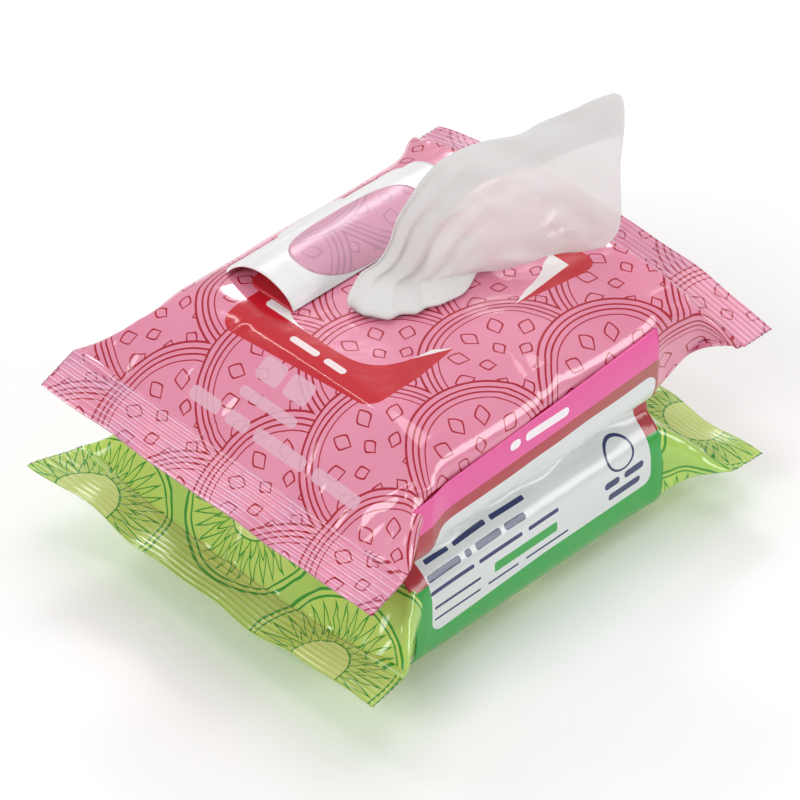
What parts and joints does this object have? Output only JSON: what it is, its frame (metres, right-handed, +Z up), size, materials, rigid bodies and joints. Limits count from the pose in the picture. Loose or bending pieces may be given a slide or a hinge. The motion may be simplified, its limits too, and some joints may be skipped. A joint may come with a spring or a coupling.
{
  "type": "wet wipes pack",
  "caption": "Soft flow-wrapped pouches of wet wipes, one on the other and joined by a label, the upper open with its reseal label curled back and a wipe drawn out.",
  "frame": {"origin": "centre of the bounding box in plan, at the height of the surface the pack lies on", "axes": "+X along the pouches from end seal to end seal, +Y from the bundling label towards the back, +Z up"},
  "size_m": [0.158, 0.134, 0.1378],
  "materials": {
    "green_film": "glossy printed film",
    "pink_film": "glossy printed film",
    "reseal_film": "printed label film with a sticky underside",
    "bundling_film": "printed label film",
    "wet_cloth": "moist nonwoven cloth"
  },
  "bodies": {
    "root": {"lower_pouch": "green_film", "lower_reseal_label": "reseal_film", "upper_pouch": "pink_film", "reseal_label": "reseal_film", "film_cutout": "pink_film", "bundling_label": "bundling_film", "drawn_wipe": "wet_cloth", "wipe_01": "wet_cloth", "wipe_02": "wet_cloth", "wipe_03": "wet_cloth", "wipe_04": "wet_cloth", "wipe_05": "wet_cloth", "wipe_06": "wet_cloth", "wipe_07": "wet_cloth", "wipe_08": "wet_cloth", "wipe_09": "wet_cloth", "wipe_10": "wet_cloth", "wipe_11": "wet_cloth", "wipe_12": "wet_cloth", "wipe_13": "wet_cloth", "wipe_14": "wet_cloth", "wipe_15": "wet_cloth", "wipe_16": "wet_cloth", "wipe_17": "wet_cloth", "wipe_18": "wet_cloth", "wipe_19": "wet_cloth", "wipe_20": "wet_cloth", "wipe_21": "wet_cloth", "wipe_22": "wet_cloth", "wipe_23": "wet_cloth", "wipe_24": "wet_cloth", "wipe_25": "wet_cloth", "wipe_26": "wet_cloth", "wipe_27": "wet_cloth", "wipe_28": "wet_cloth", "wipe_29": "wet_cloth"}
  },
  "joints": []
}
